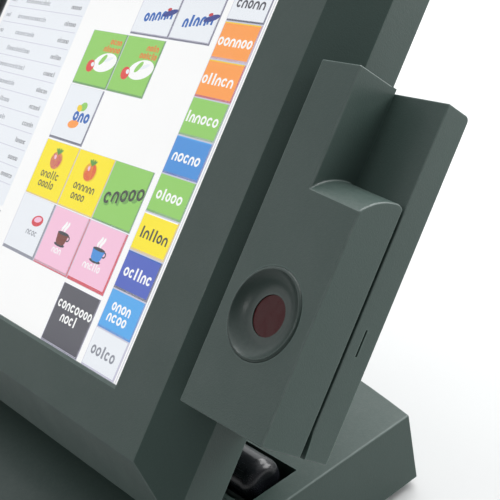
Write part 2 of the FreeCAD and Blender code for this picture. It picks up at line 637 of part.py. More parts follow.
def base_plate():
    plate = base_plan(WALL + GAP, FOOT_H).extrude(V(0, 0, 1.6))
    holes = [box(-BAY_HALF + 10, BAY_HALF - 10, 92, 130, 0, 20)]
    for x in (-BOLT_X / 2, BOLT_X / 2):
        for y in (-BOLT_Y / 2, BOLT_Y / 2):
            holes.append(cyl(BOLT_R, V(x, y, 0), V(x, y, 20)))
    for x, y in screw_points():
        holes.append(cyl(1.8, V(x, y, 0), V(x, y, 20)))
    return cut_all(plate, holes)


def screw_points():
    return [(x, y) for x in (-190, 190) for y in (-60, 70)] + [(-60, -88), (60, -88)]


def base_screws():
    screws = []
    for x, y in screw_points():
        screws.append(pan_screw(V(x, y, FOOT_H), V(0, 0, 1), 9, shank_r=1.75))
    return group(screws)


def rubber_feet():
    feet = []
    for x in (-185, 185):
        for y in (-84, 84):
            foot = Part.makeCone(9, 10.5, FOOT_H, V(x, y, 0))
            feet.append(foot)
    return group(feet)


def ballast():
    return box(-160, -72, -88, -26, FOOT_H + 1.6, 17).fuse(box(72, 160, -88, -26, FOOT_H + 1.6, 17))


def hinge_bracket(side):
    """Steel upright: an ear round the shaft, a neck through the trough and a foot on the plate."""
    x0, x1 = EAR_X, EAR_X + EAR_T
    top = BASE_TOP
    ear = cyl(10.5, V(x0, 0, top), V(x1, 0, top))
    neck = box(x0, x1, -10.5, 10.5, FOOT_H + 1.6, top)
    foot = box(x0 - 26, x1, -18, 18, FOOT_H + 1.6, FOOT_H + 5.6)
    bracket = ear.fuse(neck).fuse(foot)
    bracket = bracket.cut(cyl(SHAFT_R, V(x0 - 1, 0, top), V(x1 + 1, 0, top)))
    return bracket if side > 0 else bracket.mirror(V(0, 0, 0), V(1, 0, 0))


def hinge_shaft():
    end = EAR_X + 2 * EAR_T + 9
    return cyl(SHAFT_R, V(-end, 0, BASE_TOP), V(end, 0, BASE_TOP))


def friction_washers():
    rings = []
    for side in (-1, 1):
        x = side * (EAR_X + EAR_T)
        a, b = V(x, 0, BASE_TOP), V(x + side * 1.5, 0, BASE_TOP)
        rings.append(cyl(9.5, a, b).cut(cyl(SHAFT_R, a - V(side, 0, 0), b + V(side, 0, 0))))
    return group(rings)


def hinge_nuts():
    nuts = []
    for side in (-1, 1):
        x = side * (EAR_X + 2 * EAR_T + 2.2)
        corners = []
        for i in range(6):
            turn = math.radians(60 * i)
            corners.append(V(x, 8.6 * math.cos(turn), BASE_TOP + 8.6 * math.sin(turn)))
        nut = polygon(corners).extrude(V(side * 5, 0, 0))
        nuts.append(nut.cut(cyl(SHAFT_R, V(x - side, 0, BASE_TOP), V(x + side * 7, 0, BASE_TOP))))
    return group(nuts)


def power_supply():
    cage = box(96, 182, 22, 74, FOOT_H + 1.8, 34)
    holes = [box(100 + 7 * i, 103 + 7 * i, 28, 68, 33, 35) for i in range(11)]
    return cut_all(cage, holes)


def io_tray():
    """Steel tray round the connector bay, open to the back and below."""
    x, y0, z1 = BAY_HALF - 1, BAY_FRONT, BAY_TOP - 0.5
    back = DOOR_Y - 6
    tray = box(-x, x, y0, back, FOOT_H + 1.8, z1)
    tray = tray.cut(box(-x + 1.5, x - 1.5, y0 + 1.5, back + 5, FOOT_H, z1 - 1.5))
    holes = [box(x0, x1, y0 - 1, y0 + 3, PORT_LOW, z_top) for x0, x1, z_top in port_cuts()]
    return cut_all(tray, holes)


def port_cuts():
    return [(x - half - 0.2, x + half + 0.2, PORT_LOW + tall + 0.2) for x, half, tall in PORTS.values()]


def port_block(name):
    x, half, tall = PORTS[name]
    return box(x - half, x + half, BAY_FRONT - 14, BAY_FRONT + 5, PORT_LOW, PORT_LOW + tall)


def jack(name, width, height):
    """Modular jack: a square socket with a latch notch, open to the back."""
    x = PORTS[name][0]
    mouth = BAY_FRONT + 5
    socket = box(x - width / 2, x + width / 2, mouth - 13, mouth + 1, 14, 14 + height)
    latch = box(x - 3, x + 3, mouth - 6, mouth + 1, 14 + height - 0.5, 14 + height + 2.4)
    return port_block(name).cut(socket).cut(latch)


def usb_ports():
    x = PORTS["usb_ports"][0]
    mouth = BAY_FRONT + 5
    block = port_block("usb_ports")
    for z in (13.2, 20.8):
        cavity = box(x - 6.3, x + 6.3, mouth - 12, mouth + 1, z, z + 5.2)
        tongue = box(x - 5.6, x + 5.6, mouth - 12.5, mouth - 0.8, z + 2.6, z + 4.4)
        block = block.cut(cavity).fuse(tongue)
    return block


def serial_port():
    x = PORTS["serial_port"][0]
    mouth = BAY_FRONT + 5
    half, tall = PORTS["serial_port"][1:]
    block = box(x - half, x + half, BAY_FRONT - 14, BAY_FRONT + 1, PORT_LOW, PORT_LOW + tall)
    shell = box(x - 8.5, x + 8.5, BAY_FRONT, mouth + 1, 14.2, 22.4)
    shell = fillet_where(shell, 1.8, lambda m, w: abs(w.y) > 0.99)
    hollow = box(x - 7.9, x + 7.9, BAY_FRONT + 1.2, mouth + 2, 14.8, 21.8)
    pins = []
    for count, first, z in ((5, x - 5.5, 19.8), (4, x - 4.1, 16.8)):
        for i in range(count):
            pins.append(cyl(0.5, V(first + 2.76 * i, BAY_FRONT, z), V(first + 2.76 * i, mouth, z)))
    return block.fuse(shell.cut(hollow)).fuse(pins)


def power_inlet():
    x, mouth = PORTS["power_inlet"][0], BAY_FRONT + 5
    block = port_block("power_inlet")
    block = block.cut(cyl(3.2, V(x, mouth - 11, 18), V(x, mouth + 1, 18)))
    return block.fuse(cyl(1.0, V(x, mouth - 12, 18), V(x, mouth - 1, 18)))


def io_board():
    board = box(-74, 74, BAY_FRONT - 44, BAY_FRONT - 1, 10.2, 11.8)
    return board.fuse([box(-50, -30, 24, 40, 11.8, 14), box(10, 34, 24, 42, 11.8, 13.6)])


def cable_door():
    """Flap over the connector bay: it hangs from a pin and has a notch for the cables."""
    half, low = BAY_HALF - 0.8, 8.5
    panel = box(-half, half, DOOR_Y - DOOR_T / 2, DOOR_Y + DOOR_T / 2, low, DOOR_PIN_Z)
    knuckle = cyl(2.4, V(-half, DOOR_Y, DOOR_PIN_Z), V(half, DOOR_Y, DOOR_PIN_Z))
    door = panel.fuse(knuckle)
    notch = box(-30, 30, DOOR_Y - 5, DOOR_Y + 5, low - 1, 19)
    door = door.cut(notch)
    lip = box(-16, 16, DOOR_Y + DOOR_T / 2 - 0.1, DOOR_Y + DOOR_T / 2 + 1.8, 20.5, 22.5)
    door = door.fuse(lip)
    return door.cut(cyl(DOOR_PIN_R + 0.05, V(-half - 1, DOOR_Y, DOOR_PIN_Z), V(half + 1, DOOR_Y, DOOR_PIN_Z)))


def door_pin():
    end = BAY_HALF + 2.5
    return cyl(DOOR_PIN_R, V(-end, DOOR_Y, DOOR_PIN_Z), V(end, DOOR_Y, DOOR_PIN_Z))


os.makedirs("parts", exist_ok=True)

HEAD_NODES = {
    "front_housing": front_housing, "rear_cover": rear_cover, "touch_glass": touch_glass,
    "touch_gasket": touch_gasket, "lcd_image": lcd_image, "lcd_panel": lcd_panel,
    "chassis_frame": chassis_frame, "chassis_screws": chassis_screws, "main_board": main_board,
    "heatsink": heatsink, "memory_module": memory_module, "storage_drive": storage_drive,
    "backlight_inverter": backlight_inverter, "touch_controller": touch_controller,
    "power_button": power_button, "button_spring": button_spring, "power_switch": power_switch,
    "head_screws": head_screws}
for node, make in HEAD_NODES.items():
    save_head(node, make())
for side, word in ((-1, "left"), (1, "right")):
    save_head("speaker_" + word, speaker(side))
    save_head("hinge_arm_" + word, hinge_arm(side))
    save_base("hinge_bracket_" + word, hinge_bracket(side))
hinge_covers()

MODULE_NODES = {
    "module_front_cover": module_front_cover, "finger_guide": finger_guide,
    "sensor_window": sensor_window, "sensor_block": sensor_block, "sensor_board": sensor_board,
    "slot_wall": slot_wall, "card_rail": card_rail, "read_head": read_head,
    "read_head_spring": read_head_spring, "module_rear_plate": module_rear_plate,
    "module_back_cover": module_back_cover, "status_lens": status_lens,
    "decoder_board": decoder_board, "module_screws": module_screws, "module_bracket": module_bracket}
for node, make in MODULE_NODES.items():
    save_module(node, make())

BASE_NODES = {
    "base_cover": base_cover, "base_plate": base_plate, "base_screws": base_screws,
    "rubber_feet": rubber_feet, "ballast": ballast, "hinge_shaft": hinge_shaft,
    "friction_washers": friction_washers, "hinge_nuts": hinge_nuts, "power_supply": power_supply,
    "io_tray": io_tray, "io_board": io_board, "usb_ports": usb_ports, "serial_port": serial_port,
    "power_inlet": power_inlet, "cable_door": cable_door, "door_pin": door_pin}
for node, make in BASE_NODES.items():
    save_base(node, make())
save_base("network_jack", jack("network_jack", 11.8, 8.4))
save_base("drawer_jack", jack("drawer_jack", 10.0, 7.4))
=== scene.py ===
import json
import math
import random

import bmesh
import bpy
from mathutils import Matrix, Vector


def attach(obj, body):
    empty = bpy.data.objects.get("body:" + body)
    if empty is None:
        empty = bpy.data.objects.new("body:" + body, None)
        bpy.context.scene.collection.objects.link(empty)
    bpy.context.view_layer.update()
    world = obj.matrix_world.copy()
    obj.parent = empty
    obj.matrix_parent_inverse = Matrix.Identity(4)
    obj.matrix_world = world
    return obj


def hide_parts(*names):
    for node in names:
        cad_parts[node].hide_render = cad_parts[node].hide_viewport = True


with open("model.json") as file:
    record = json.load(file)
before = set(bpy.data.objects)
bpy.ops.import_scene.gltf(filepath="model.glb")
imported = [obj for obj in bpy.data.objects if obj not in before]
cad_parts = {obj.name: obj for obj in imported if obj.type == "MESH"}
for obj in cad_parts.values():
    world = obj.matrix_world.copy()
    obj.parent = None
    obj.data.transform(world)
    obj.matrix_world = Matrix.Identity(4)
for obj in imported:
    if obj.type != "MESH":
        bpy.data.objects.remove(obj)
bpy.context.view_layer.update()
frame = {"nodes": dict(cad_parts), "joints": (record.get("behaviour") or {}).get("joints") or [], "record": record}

# The looks of a countertop touch terminal with a reader module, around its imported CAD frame.
# Metres, in the CAD's row frame: X right, Y back, Z up. The head's own directions come from the
# record: RIGHT along the hinge, BACK into the head and UP along its reclined front.
NODES = frame["nodes"]
AXES = {joint["name"]: Vector(joint["axis"]) for joint in frame["joints"]}
MM = 0.001
RIGHT = Vector((1, 0, 0))
BACK = -AXES["read_head_float"].normalized()
UP = RIGHT.cross(BACK)
BEHIND = Vector((0, 1, 0))
SKYWARD = Vector((0, 0, 1))


def local_box(node):
    """A node's lowest and highest coordinates along RIGHT, BACK and UP."""
    points = [v.co for v in NODES[node].data.vertices]
    spans = [[axis.dot(p) for p in points] for axis in (RIGHT, BACK, UP)]
    return [min(s) for s in spans], [max(s) for s in spans]


def head_point(x, y, z):
    return RIGHT * x + BACK * y + UP * z


def srgb(code):
    """Linear colour from a six-digit hex code."""
    parts = [int(code[i:i + 2], 16) / 255 for i in (0, 2, 4)]
    linear = [c / 12.92 if c <= 0.04045 else ((c + 0.055) / 1.055) ** 2.4 for c in parts]
    return linear + [1.0]


def scaled(colour, gain):
    return [c * gain for c in colour[:3]] + [1.0]


def turned(first, second, degrees):
    """The direction reached by turning from the first towards the second, at right angles to it."""
    angle = math.radians(degrees)
    return first * math.cos(angle) + second * math.sin(angle)


# ---- materials -------------------------------------------------------------------------------
# Textures are in the object's own metres, so a size is given as features per metre.
GREEN_GREY = [0.0350, 0.0560, 0.0490, 1]
EDGE_HIGHLIGHT_GREY = [0.098, 0.122, 0.114, 1]       # painted highlight: the same plastic, lightened on a rounded edge where it catches the light
STILL_FLAT, WHOLLY_ROUND = 0.985, 0.925    # cosines of the turn away from a flat direction

# The directions that each moulding's flat and gently curved faces look in. The rest is rounded edge, which gets a
# painted highlight.
MODULE_FLATS = [RIGHT, BACK, UP] + [turned(UP, BACK, angle) for angle in (-19.9, -39.7, 19.9)]
HEAD_FLATS = [RIGHT, BACK, UP] + [turned(way, BACK, angle) for way in (RIGHT, UP) for angle in (45, -45)]
BASE_FLATS = [RIGHT, SKYWARD, turned(SKYWARD, BEHIND, -9.6)]
BASE_FLATS += [turned(BEHIND, RIGHT, angle) for angle in (-16.7, -8.5, 0, 8.5, 16.7)]


class Graph:
    """A node material: each method adds a node and gives back the socket to use next."""

    def __init__(self, name, **uniform):
        self.material = bpy.data.materials.new(name)
        self.material.use_nodes = True
        self.tree = self.material.node_tree
        self.shader = self.tree.nodes["Principled BSDF"]
        self.coords = self.tree.nodes.new("ShaderNodeTexCoord").outputs["Object"]
        for label, value in uniform.items():
            self.shader.inputs[label.replace("_", " ")].default_value = value

    def add(self, kind, settings=None, **inputs):
        node = self.tree.nodes.new("ShaderNode" + kind)
        for key, value in (settings or {}).items():
            setattr(node, key, value)
        for label, value in inputs.items():
            self.feed(node.inputs[label.replace("_", " ")], value)
        return node

    def feed(self, socket, value):
        if isinstance(value, bpy.types.NodeSocket):
            self.tree.links.new(value, socket)
        else:
            socket.default_value = value

    def stretched(self, scale, turn=0.0):
        """The object's coordinates turned about X, then scaled along each axis."""
        tipped = self.add("Mapping", Vector=self.coords, Rotation=(turn, 0, 0))
        return self.add("Mapping", Vector=tipped.outputs[0], Scale=scale).outputs[0]

    def noise(self, per_metre, detail=3.0, roughness=0.5, at=None):
        node = self.add("TexNoise", Vector=at or self.coords, Scale=per_metre, Detail=detail,
                        Roughness=roughness)
        return node.outputs["Fac"]

    def cells(self, per_metre, at=None):
        node = self.add("TexVoronoi", Vector=at or self.coords, Scale=per_metre)
        return node.outputs["Distance"]

    def level(self, value, low, high, out_low=0.0, out_high=1.0):
        node = self.add("MapRange", Value=value, From_Min=low, From_Max=high, To_Min=out_low,
                        To_Max=out_high)
        return node.outputs[0]

    def math(self, operation, a, b=0.5):
        node = self.add("Math", {"operation": operation})
        self.feed(node.inputs[0], a)
        self.feed(node.inputs[1], b)
        return node.outputs[0]

    def mix(self, amount, a, b):
        node = self.add("Mix", {"data_type": "RGBA"})
        for socket, value in ((node.inputs[0], amount), (node.inputs[6], a), (node.inputs[7], b)):
            self.feed(socket, value)
        return node.outputs[2]

    def edges(self, radius):
        """1 along sharp edges, within the radius in millimetres, and 0 on flat faces."""
        rounded = self.add("Bevel", {"samples": 4}, Radius=radius * MM).outputs[0]
        true = self.add("NewGeometry").outputs["Normal"]
        same = self.add("VectorMath", {"operation": "DOT_PRODUCT"})
        self.feed(same.inputs[0], rounded)
        self.feed(same.inputs[1], true)
        return self.level(same.outputs["Value"], 0.985, 0.80)

    def rounded(self, ways):
        """1 where the surface turns away from every one of the part's flat directions, 0 on its flats."""
        facing = self.tree.nodes.new("ShaderNodeTexCoord").outputs["Normal"]
        best = 0.0
        for way in ways:
            along = self.add("VectorMath", {"operation": "DOT_PRODUCT"})
            self.feed(along.inputs[0], facing)
            self.feed(along.inputs[1], way)
            best = self.math("MAXIMUM", self.math("ABSOLUTE", along.outputs["Value"]), best)
        return self.level(best, STILL_FLAT, WHOLLY_ROUND)

    def upward(self):
        """1 on faces that look up, where dust settles."""
        normal = self.add("SeparateXYZ", Vector=self.add("NewGeometry").outputs["Normal"])
        return self.level(normal.outputs["Z"], 0.55, 1.0)

    def bump(self, height, depth, strength, under=None):
        """Relief of a depth in millimetres, on top of the relief under it."""
        node = self.add("Bump", Height=height, Distance=depth * MM, Strength=strength)
        if under is not None:
            self.feed(node.inputs["Normal"], under)
        return node.outputs[0]

    def surface(self, **inputs):
        for label, value in inputs.items():
            self.feed(self.shader.inputs[label.replace("_", " ")], value)
        return self.material


def moulded_plastic(name, colour, rough=0.46, grain=1.0, dust=0.05, flats=()):
    """Spark-eroded satin plastic: fine pits, faint flow clouds, rubbed edges, a little dust; the lightened sharp
    edges are partly, and the lightened rounded edges wholly, a painted highlight.
    """
    g = Graph(name, Specular_IOR_Level=0.28, Coat_Weight=0.10, Coat_Roughness=0.16)
    clouds = g.noise(9, 4, 0.6)
    speckle = g.noise(1500, 2, 0.6)
    pits = g.cells(1150)
    # Sharp edges: less rough where rubbed (wear), and lightened in colour, partly as a painted highlight.
    rubbed_and_highlit = g.math("MULTIPLY", g.edges(2.2), g.level(g.noise(160, 4, 0.7), 0.25, 0.6, 0.35, 1.0))
    tone = g.mix(g.level(clouds, 0.3, 0.7), scaled(colour, 0.94), scaled(colour, 1.07))
    tone = g.mix(g.level(speckle, 0.35, 0.7, 0.0, 0.35), tone, scaled(colour, 1.35))
    # Partly painted highlight: the sharp edges lightened to 2.4 times the plastic's colour.
    tone = g.mix(g.math("MULTIPLY", rubbed_and_highlit, 0.5), tone, scaled(colour, 2.4))
    # Painted highlight: rounded edges lightened towards a pale grey, patchy along their length.
    if flats:
        highlight_patches = g.level(g.noise(60, 4, 0.7), 0.25, 0.65, 0.45, 0.95)
        tone = g.mix(g.math("MULTIPLY", g.rounded(flats), highlight_patches), tone, EDGE_HIGHLIGHT_GREY)
    settled = g.math("MULTIPLY", g.upward(), g.level(g.noise(420, 5, 0.75), 0.42, 0.75, 0, dust))
    tone = g.mix(settled, tone, srgb("a5a8a2"))
    handled = g.noise(38, 5, 0.65)
    shine = g.level(handled, 0.3, 0.7, rough - 0.05, rough + 0.06)
    shine = g.math("SUBTRACT", shine, g.math("MULTIPLY", rubbed_and_highlit, 0.10))
    skin = g.bump(g.noise(70, 3, 0.5), 0.12, 0.35)
    skin = g.bump(pits, 0.06, 0.55 * grain, skin)
    skin = g.bump(speckle, 0.05, 0.5 * grain, skin)
    return g.surface(Base_Color=tone, Roughness=shine, Normal=skin)


def gloss_plastic(name, colour, rough=0.20):
    """Polished moulding with hairline scratches, smears and a few dust specks."""
    g = Graph(name, Specular_IOR_Level=0.42)
    scratches = g.noise(1, 3, 0.7, g.stretched((60, 2600, 2600), 0.4))
    smears = g.noise(46, 4, 0.6)
    specks = g.level(g.cells(520), 0.10, 0.04)
    tone = g.mix(g.level(smears, 0.35, 0.7), colour, scaled(colour, 1.8))
    tone = g.mix(g.math("MULTIPLY", specks, g.level(g.noise(90), 0.5, 0.7, 0, 0.35)), tone, srgb("9a9c98"))
    smeared = g.level(smears, 0.35, 0.7, rough, rough + 0.1)
    shine = g.math("ADD", smeared, g.level(scratches, 0.6, 0.75, 0, 0.12))
    return g.surface(Base_Color=tone, Roughness=shine, Normal=g.bump(scratches, 0.02, 0.4))


def metal(name, colour, rough, grain=(40, 2200, 2200)):
    """Metal with a drawn grain along one axis, tarnish blotches and small scratches."""
    g = Graph(name, Metallic=1.0)
    drawn = g.noise(1, 4, 0.65, g.stretched(grain))
    stains = g.noise(55, 5, 0.7)
    nicks = g.noise(1, 2, 0.5, g.stretched((900, 60, 900), 0.7))
    tone = g.mix(g.level(stains, 0.3, 0.72), colour, scaled(colour, 0.76))
    tone = g.mix(g.level(drawn, 0.35, 0.65, 0, 0.3), tone, scaled(colour, 1.12))
    dulled = g.level(stains, 0.3, 0.7, rough - 0.05, rough + 0.1)
    shine = g.math("ADD", dulled, g.level(drawn, 0.4, 0.6, 0, 0.08))
    skin = g.bump(drawn, 0.03, 0.5)
    skin = g.bump(nicks, 0.03, 0.25, skin)
    return g.surface(Base_Color=tone, Roughness=shine, Normal=skin)


def spangled_steel(name, colour):
    """Zinc-plated sheet with the crystal pattern of hot dipping."""
    g = Graph(name, Metallic=1.0)
    crystal = g.add("TexVoronoi", Vector=g.coords, Scale=160.0)
    shade = g.add("SeparateColor", Color=crystal.outputs["Color"]).outputs[0]
    tone = g.mix(g.level(shade, 0, 1, 0, 0.5), colour, scaled(colour, 0.7))
    tone = g.mix(g.level(g.noise(30, 4, 0.7), 0.5, 0.8, 0, 0.35), tone, srgb("8d8f8c"))
    shine = g.level(shade, 0, 1, 0.28, 0.46)
    return g.surface(Base_Color=tone, Roughness=shine, Normal=g.bump(g.noise(900, 2), 0.03, 0.3))


def powder_coat(name, colour):
    """Baked powder paint with orange peel, worn on the sharp edges."""
    g = Graph(name, Specular_IOR_Level=0.5)
    peel = g.noise(650, 2, 0.45)
    tone = g.mix(g.level(g.noise(24, 4), 0.3, 0.7), scaled(colour, 0.85), scaled(colour, 1.2))
    tone = g.mix(g.math("MULTIPLY", g.edges(0.8), 0.5), tone, srgb("6e706e"))
    shine = g.level(peel, 0.3, 0.7, 0.42, 0.6)
    return g.surface(Base_Color=tone, Roughness=shine, Normal=g.bump(peel, 0.12, 0.7))


def rough_casting(name, colour):
    """Sand-cast iron with patches of rust."""
    g = Graph(name, Metallic=0.6, Specular_IOR_Level=0.4)
    sand = g.noise(420, 5, 0.7)
    tone = g.mix(g.level(g.noise(60, 5, 0.7), 0.4, 0.7), colour, srgb("4a3a30"))
    return g.surface(Base_Color=tone, Roughness=g.level(sand, 0.3, 0.7, 0.6, 0.85),
                     Normal=g.bump(sand, 0.4, 0.8))


def soft_rubber(name, colour, sponge=False):
    """Matte rubber with a dusty bloom; sponge gives it the open pores of foam."""
    g = Graph(name, Specular_IOR_Level=0.3)
    pores = g.cells(1300 if sponge else 2600)
    bloom = g.noise(60, 5, 0.7)
    tone = g.mix(g.level(bloom, 0.4, 0.75, 0, 0.35), colour, srgb("5a5a57"))
    tone = g.mix(g.level(pores, 0.0, 0.5, 0.6, 0.0), tone, scaled(colour, 0.4))
    return g.surface(Base_Color=tone, Roughness=g.level(bloom, 0.3, 0.7, 0.72, 0.9),
                     Normal=g.bump(pores, 0.3 if sponge else 0.08, 0.8))


def circuit_board(name, colour):
    """Solder mask over copper: square runs of track, round pads and a woven core beneath."""
    g = Graph(name, Specular_IOR_Level=0.5, Coat_Weight=0.3, Coat_Roughness=0.15)
    flat = g.stretched((1, 1, 1), -math.atan2(BACK.z, BACK.y))
    runs = g.add("TexBrick", {"offset": 0.4, "squash": 0.6}, Vector=flat, Scale=240.0, Mortar_Size=0.035,
                 Brick_Width=1.3, Row_Height=0.5)
    track = runs.outputs["Fac"]
    pads = g.level(g.cells(330, at=flat), 0.16, 0.12)
    weave = g.noise(1, 2, 0.5, g.stretched((2400, 600, 600)))
    tone = g.mix(g.level(weave, 0.3, 0.7, 0, 0.5), colour, scaled(colour, 0.75))
    tone = g.mix(g.math("MULTIPLY", track, 0.8), tone, scaled(colour, 2.1))
    tone = g.mix(pads, tone, srgb("c9b98a"))
    raised = g.math("MAXIMUM", track, pads)
    return g.surface(Base_Color=tone, Metallic=g.math("MULTIPLY", pads, 0.8),
                     Roughness=g.level(weave, 0.3, 0.7, 0.28, 0.42), Normal=g.bump(raised, 0.04, 0.7))


def tinted_window(name, colour, glow):
    """Smoked platen: dark and glossy, faintly lit from below, with a trace of skin oil."""
    g = Graph(name, Specular_IOR_Level=0.12, Emission_Strength=0.05)
    smears = g.noise(1, 4, 0.6, g.stretched((700, 260, 260), 0.7))
    patches = g.noise(170, 3, 0.6)
    tone = g.mix(g.level(patches, 0.3, 0.7), colour, scaled(colour, 1.7))
    shine = g.level(g.math("MULTIPLY", smears, patches), 0.15, 0.4, 0.16, 0.4)
    lit = g.mix(g.level(patches, 0.3, 0.7), glow, scaled(glow, 0.7))
    return g.surface(Base_Color=tone, Roughness=shine, Emission_Color=lit,
                     Normal=g.bump(smears, 0.01, 0.3))


def anti_glare_glass(name):
    """Clear touch panel whose etched face only leaves a soft haze over the picture."""
    g = Graph(name, Alpha=0.045, Specular_IOR_Level=0.5)
    etch = g.noise(2200, 2, 0.6)
    prints = g.noise(60, 5, 0.65)
    tone = g.mix(g.level(prints, 0.4, 0.7), srgb("d4dad8"), srgb("e6ebe9"))
    return g.surface(Base_Color=tone, Roughness=g.level(prints, 0.3, 0.7, 0.3, 0.42),
                     Normal=g.bump(etch, 0.03, 0.4))


def lit_picture(name, code):
    """A colour on the lit display: its own light, with the display's fine dot rows and slight drift."""
    colour = srgb(code)
    g = Graph(name, Base_Color=(0.004, 0.004, 0.004, 1), Roughness=0.5, Specular_IOR_Level=0.2,
              Emission_Strength=1.0)
    rows = g.add("TexWave", {"bands_direction": "X", "wave_profile": "SIN"}, Vector=g.coords, Scale=340.0)
    drift = g.noise(12, 2, 0.5)
    tone = g.mix(g.level(rows.outputs["Fac"], 0, 1, 0, 0.5), colour, scaled(colour, 0.96))
    tone = g.mix(g.level(drift, 0.3, 0.7), tone, scaled(colour, 0.97))
    return g.surface(Emission_Color=tone)


SLOTS = {
    "shell_plastic": moulded_plastic("shell plastic", GREEN_GREY, flats=HEAD_FLATS),
    "rear_plastic": moulded_plastic("rear plastic", scaled(GREEN_GREY, 0.9), rough=0.52),
    "module_plastic": moulded_plastic("module plastic", scaled(GREEN_GREY, 1.05), rough=0.44,
                                      flats=MODULE_FLATS),
    "base_plastic": moulded_plastic("base plastic", scaled(GREEN_GREY, 0.93), dust=0.03, flats=BASE_FLATS),
    "guide_plastic": moulded_plastic("finger guide plastic", scaled(GREEN_GREY, 0.62), rough=0.36,
                                     grain=0.4),
    "button_plastic": moulded_plastic("button plastic", srgb("2c302f"), rough=0.34, grain=0.4),
    "black_plastic": moulded_plastic("black plastic", srgb("1b1c1e"), rough=0.5),
    "port_plastic": moulded_plastic("connector plastic", srgb("191a1c"), rough=0.38, grain=0.3),
    "lcd_body": moulded_plastic("display frame", srgb("8d9092"), rough=0.45, grain=0.5),
    "barrel_gloss": gloss_plastic("gloss black", [0.004, 0.0045, 0.006, 1]),
    "lens_plastic": gloss_plastic("smoked lens", [0.006, 0.008, 0.008, 1], rough=0.14),
    "touch_glass": anti_glare_glass("touch panel"),
    "sensor_glass": tinted_window("sensor platen", [0.02, 0.004, 0.005, 1], [0.35, 0.015, 0.01, 1]),
    "screen_image": lit_picture("display ground", "fdfdfd"),
    "gasket": soft_rubber("foam gasket", srgb("202122"), sponge=True),
    "foot_rubber": soft_rubber("foot rubber", srgb("1c1c1c")),
    "sheet_steel": spangled_steel("plated sheet", srgb("b9bcbd")),
    "supply_cage": spangled_steel("supply cage", srgb("c4c7c7")),
    "screw_steel": metal("plated screw", srgb("c0c2c0"), 0.28),
    "screw_black": metal("blackened screw", srgb("3a3a3c"), 0.38),
    "shaft_steel": metal("ground shaft", srgb("c6c8ca"), 0.2, (2600, 60, 60)),
    "rail_steel": metal("worn rail", srgb("cfd1d2"), 0.18),
    "read_head_steel": metal("lapped steel", srgb("c2c3c6"), 0.16, (2600, 200, 200)),
    "spring_brass": metal("spring brass", srgb("c9a862"), 0.26),
    "heatsink_aluminium": metal("extruded aluminium", srgb("cdcfd1"), 0.34, (2200, 60, 60)),
    "drive_case": metal("cast aluminium", srgb("b4b7b9"), 0.42, (300, 300, 300)),
    "port_metal": metal("nickel shell", srgb("cbcbc8"), 0.22),
    "circuit_board": circuit_board("circuit board", srgb("1f5a35")),
    "plate_paint": powder_coat("powder coat", srgb("2b2e2d")),
    "ballast_iron": rough_casting("cast iron", srgb("4a4a49")),
}

for entry in frame["record"]["subparts"]:
    slots = NODES[entry["node"]].data.materials
    slots.clear()
    slots.append(SLOTS[entry["material_slot"]])


# ---- the picture on the display --------------------------------------------------------------
# Plates a hair thick, stacked towards the viewer. a runs right and b up from the display's
# lower left corner, in millimetres. Words are rows of simple marks that spell nothing, and the
# drawings are plain generic shapes.
LAYER = 0.035 * MM
PANEL_LOW, PANEL_HIGH = local_box("lcd_image")
SCREEN_W = (PANEL_HIGH[0] - PANEL_LOW[0]) / MM
SCREEN_H = (PANEL_HIGH[2] - PANEL_LOW[2]) / MM
INKS = {
    "white": "fdfdfd", "pale": "eef2f8", "line": "c9c8da", "grey": "8a8d98", "dark": "54525c",
    "darker": "3c3b44", "ink": "3c3f36", "yellow": "ffea0a", "gold": "f2cf1e", "green": "92cf62",
    "leaf": "5d9a3e", "orange": "ff9f47", "red": "c8323c", "tomato": "e2403a", "blue": "3f8fdc",
    "deep": "2463b8", "indigo": "4a5fc0", "night": "2f3a8c", "sky": "4fa9ee", "pink": "f8c4de",
    "rose": "d8434f", "brown": "7a3a2e", "plum": "c8326a", "azure": "3a8bd8", "moss": "6fa850",
    "slate": "4d5160", "mist": "dadbe4", "rust": "f0672c"}
INK_MATERIALS = {word: lit_picture("picture " + word, code) for word, code in INKS.items()}
OUTLINE_POINTS = 28
ARC_STEPS = 8

HOOP, OPEN_HOOP, ARCH, UPRIGHT = range(4)
MARKS = (HOOP, HOOP, OPEN_HOOP, ARCH, ARCH, UPRIGHT)     # hoops and arches are drawn more often

KEYS_BASE = 10                                     # the keys' plates start in front of the ground's
KEY_LEFT, KEY_RIGHT, KEY_PITCH = 260.3, 293.1, 23.27
KEY_GAP, KEY_RIM = 0.8, 0.4
COLUMNS = (214.0, 173.0, 132.0)                    # product keys' left edges, from the right
ROWS = (-1.0, 38.9, 77.0, 115.6, 154.0, 192.8)     # their lower edges, from the bottom
TILE_W, TILE_H = 40.2, 37.2
SCREEN_RIM = 0.2                                   # keys stop this far from the picture's edge

# The category keys from the bottom up: face, edge, word, light line above, and each word's width.
CATEGORIES = (
    ("pale", "line", "grey", None, (25,)),
    ("sky", "azure", "white", "sky", (18, 19)),
    ("indigo", "slate", "white", "deep", (25,)),
    ("yellow", "gold", "ink", "white", (25,)),
    ("green", "moss", "white", "green", (25,)),
    ("blue", "deep", "white", "sky", (25,)),
    ("green", "moss", "white", "green", (30,)),
    ("orange", "red", "white", "gold", (30,)),
    ("orange", "red", "white", "gold", (30,)),
    ("pale", "slate", "dark", "white", (25,)))


